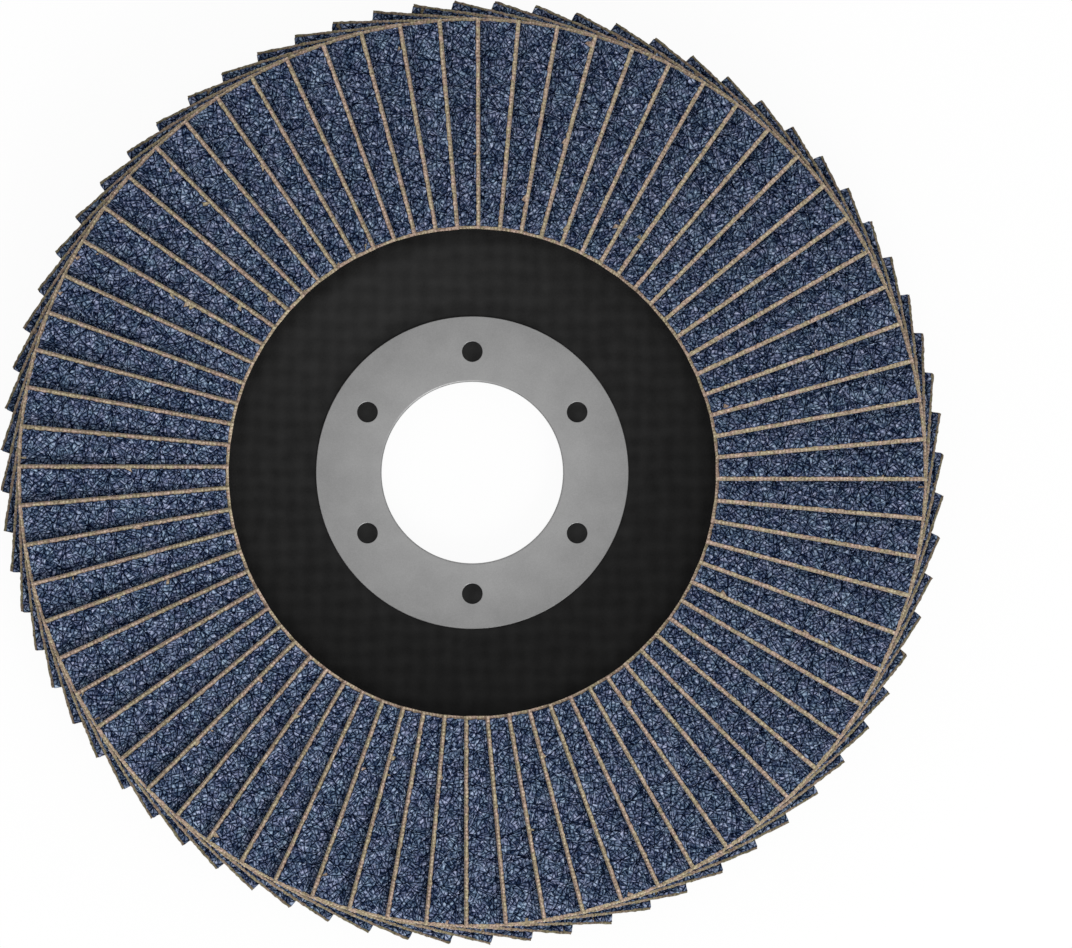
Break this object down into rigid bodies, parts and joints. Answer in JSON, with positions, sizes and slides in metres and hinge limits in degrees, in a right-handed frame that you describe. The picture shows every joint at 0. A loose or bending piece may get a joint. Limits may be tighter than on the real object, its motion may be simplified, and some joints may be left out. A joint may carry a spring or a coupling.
{
  "type": "flap disc",
  "caption": "Flap disc for an angle grinder: abrasive cloth flaps, shingled and bonded round a dished backing plate with a steel-lined bore.",
  "frame": {"origin": "on the bore's axis, in the plane of the hub's back face, which is the lowest face", "axes": "+Z along the bore's axis, out of the abrasive side; +X lies along the first flap"},
  "size_m": [0.1148, 0.1148, 0.0151],
  "materials": {
    "abrasive_cloth": "matte",
    "backing_laminate": "satin",
    "bonding_resin": "satin",
    "bush_steel": "satin"
  },
  "bodies": {
    "root": {"backing_plate": "backing_laminate", "steel_bush": "bush_steel", "adhesive_bed": "bonding_resin", "flaps_01_02": "abrasive_cloth", "flaps_03_04": "abrasive_cloth", "flaps_05_06": "abrasive_cloth", "flaps_07_08": "abrasive_cloth", "flaps_09_10": "abrasive_cloth", "flaps_11_12": "abrasive_cloth", "flaps_13_14": "abrasive_cloth", "flaps_15_16": "abrasive_cloth", "flaps_17_18": "abrasive_cloth", "flaps_19_20": "abrasive_cloth", "flaps_21_22": "abrasive_cloth", "flaps_23_24": "abrasive_cloth", "flaps_25_26": "abrasive_cloth", "flaps_27_28": "abrasive_cloth", "flaps_29_30": "abrasive_cloth", "flaps_31_32": "abrasive_cloth", "flaps_33_34": "abrasive_cloth", "flaps_35_36": "abrasive_cloth", "flaps_37_38": "abrasive_cloth", "flaps_39_40": "abrasive_cloth", "flaps_41_42": "abrasive_cloth", "flaps_43_44": "abrasive_cloth", "flaps_45_46": "abrasive_cloth", "flaps_47_48": "abrasive_cloth", "flaps_49_50": "abrasive_cloth", "flaps_51_52": "abrasive_cloth", "flaps_53_54": "abrasive_cloth", "flaps_55_56": "abrasive_cloth", "flaps_57_58": "abrasive_cloth", "flaps_59_60": "abrasive_cloth", "flaps_61_62": "abrasive_cloth", "flaps_63_64": "abrasive_cloth", "flaps_65_66": "abrasive_cloth", "flaps_67_68": "abrasive_cloth", "flaps_69_70": "abrasive_cloth", "flaps_71_72": "abrasive_cloth"}
  },
  "joints": []
}
